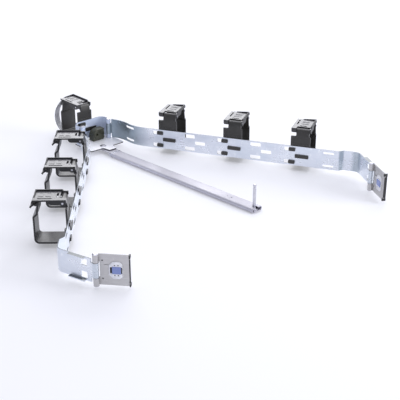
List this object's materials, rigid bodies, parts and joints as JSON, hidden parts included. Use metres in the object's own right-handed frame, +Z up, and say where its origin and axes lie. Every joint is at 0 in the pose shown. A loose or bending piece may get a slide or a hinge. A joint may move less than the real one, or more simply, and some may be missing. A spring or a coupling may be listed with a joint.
{
  "type": "server cable management arm",
  "caption": "Folding cable management arm for a 1U rack server: two slotted steel arms on an elbow, lidded cable clips, latching end brackets and a telescoping support bar.",
  "frame": {"origin": "centre of the bounding box in plan, at its lowest point, where the support bar rests", "axes": "+Z up, front arm running along -Y, rear arm running mostly along +X"},
  "size_m": [0.4404, 0.469, 0.0622],
  "materials": {
    "zinc_sheet": "bright zinc plated, thin",
    "bracket_sheet": "brushed plate",
    "pin_steel": "turned, plated",
    "clip_black": "fine moulded grain",
    "block_black": "moulded",
    "latch_light": "moulded",
    "button_blue": "moulded"
  },
  "bodies": {
    "elbow": {"elbow_link": "zinc_sheet", "elbow_base_plate": "zinc_sheet", "elbow_block": "block_black", "rear_elbow_pin": "pin_steel", "front_elbow_pin": "pin_steel", "bar_pivot_rivet": "pin_steel", "corner_clip_loop": "clip_black", "corner_clip_pin": "pin_steel"},
    "bar": {"bar_channel": "zinc_sheet"},
    "bar_extension": {"bar_slide": "zinc_sheet", "bar_peg": "pin_steel"},
    "rear_arm": {"rear_arm_strip": "zinc_sheet", "rear_end_pin": "pin_steel", "rear_1_clip_loop": "clip_black", "rear_1_clip_pin": "pin_steel", "rear_2_clip_loop": "clip_black", "rear_2_clip_pin": "pin_steel", "rear_3_clip_loop": "clip_black", "rear_3_clip_pin": "pin_steel"},
    "rear_bracket": {"rear_bracket_plate": "bracket_sheet", "rear_latch_housing": "latch_light"},
    "rear_button": {"rear_latch_button": "button_blue"},
    "front_arm": {"front_arm_strip": "zinc_sheet", "front_end_pin": "pin_steel", "front_1_clip_loop": "clip_black", "front_1_clip_pin": "pin_steel", "front_2_clip_loop": "clip_black", "front_2_clip_pin": "pin_steel", "front_3_clip_loop": "clip_black", "front_3_clip_pin": "pin_steel"},
    "front_bracket": {"front_bracket_plate": "bracket_sheet", "front_latch_housing": "latch_light"},
    "front_button": {"front_latch_button": "button_blue"},
    "corner_lid": {"corner_clip_lid": "clip_black"},
    "rear_1_lid": {"rear_1_clip_lid": "clip_black"},
    "rear_2_lid": {"rear_2_clip_lid": "clip_black"},
    "rear_3_lid": {"rear_3_clip_lid": "clip_black"},
    "front_1_lid": {"front_1_clip_lid": "clip_black"},
    "front_2_lid": {"front_2_clip_lid": "clip_black"},
    "front_3_lid": {"front_3_clip_lid": "clip_black"}
  },
  "joints": [
    {"name": "rear_arm_swing", "type": "hinge", "parent": "elbow", "child": "rear_arm", "pos_m": [-0.14811, 0.19617, 0.022], "axis": [0, 0, 1], "range_deg": [-21, 56]},
    {"name": "front_arm_swing", "type": "hinge", "parent": "elbow", "child": "front_arm", "pos_m": [-0.18297, 0.16555, 0.022], "axis": [0, 0, 1], "range_deg": [-43, 33]},
    {"name": "bar_swing", "type": "hinge", "parent": "elbow", "child": "bar", "pos_m": [-0.15402, 0.16169, 0.0063], "axis": [0, 0, 1], "range_deg": [-30, 20]},
    {"name": "bar_extend", "type": "slide", "parent": "bar", "child": "bar_extension", "axis": [0.7108, -0.7034, 0], "range_m": [0, 0.12]},
    {"name": "rear_bracket_swing", "type": "hinge", "parent": "rear_arm", "child": "rear_bracket", "pos_m": [0.20622, 0.01243, 0.022], "axis": [0, 0, 1], "range_deg": [-70, 70]},
    {"name": "rear_button_press", "type": "slide", "parent": "rear_bracket", "child": "rear_button", "axis": [0.973, 0.2309, 0], "range_m": [0, 0.002], "stiffness_N_per_m": 400, "springref_m": -0.0025},
    {"name": "front_bracket_swing", "type": "hinge", "parent": "front_arm", "child": "front_bracket", "pos_m": [-0.12908, -0.22994, 0.022], "axis": [0, 0, 1], "range_deg": [-70, 70]},
    {"name": "front_button_press", "type": "slide", "parent": "front_bracket", "child": "front_button", "axis": [0.1392, 0.9903, 0], "range_m": [0, 0.002], "stiffness_N_per_m": 400, "springref_m": -0.0025},
    {"name": "corner_lid_hinge", "type": "hinge", "parent": "elbow", "child": "corner_lid", "pos_m": [-0.18496, 0.19614, 0.057], "axis": [0.7513, 0.66, 0], "range_deg": [0, 90]},
    {"name": "rear_1_lid_hinge", "type": "hinge", "parent": "rear_arm", "child": "rear_1_lid", "pos_m": [-0.05826, 0.15368, 0.057], "axis": [0.9418, -0.3363, 0], "range_deg": [0, 90]},
    {"name": "rear_2_lid_hinge", "type": "hinge", "parent": "rear_arm", "child": "rear_2_lid", "pos_m": [0.03262, 0.12123, 0.057], "axis": [0.9418, -0.3363, 0], "range_deg": [0, 90]},
    {"name": "rear_3_lid_hinge", "type": "hinge", "parent": "rear_arm", "child": "rear_3_lid", "pos_m": [0.1235, 0.08878, 0.057], "axis": [0.9418, -0.3363, 0], "range_deg": [0, 90]},
    {"name": "front_1_lid_hinge", "type": "hinge", "parent": "front_arm", "child": "front_1_lid", "pos_m": [-0.17317, 0.06665, 0.057], "axis": [0, 1, 0], "range_deg": [0, 90]},
    {"name": "front_2_lid_hinge", "type": "hinge", "parent": "front_arm", "child": "front_2_lid", "pos_m": [-0.17317, -0.02985, 0.057], "axis": [0, 1, 0], "range_deg": [0, 90]},
    {"name": "front_3_lid_hinge", "type": "hinge", "parent": "front_arm", "child": "front_3_lid", "pos_m": [-0.17317, -0.12635, 0.057], "axis": [0, 1, 0], "range_deg": [0, 90]}
  ]
}
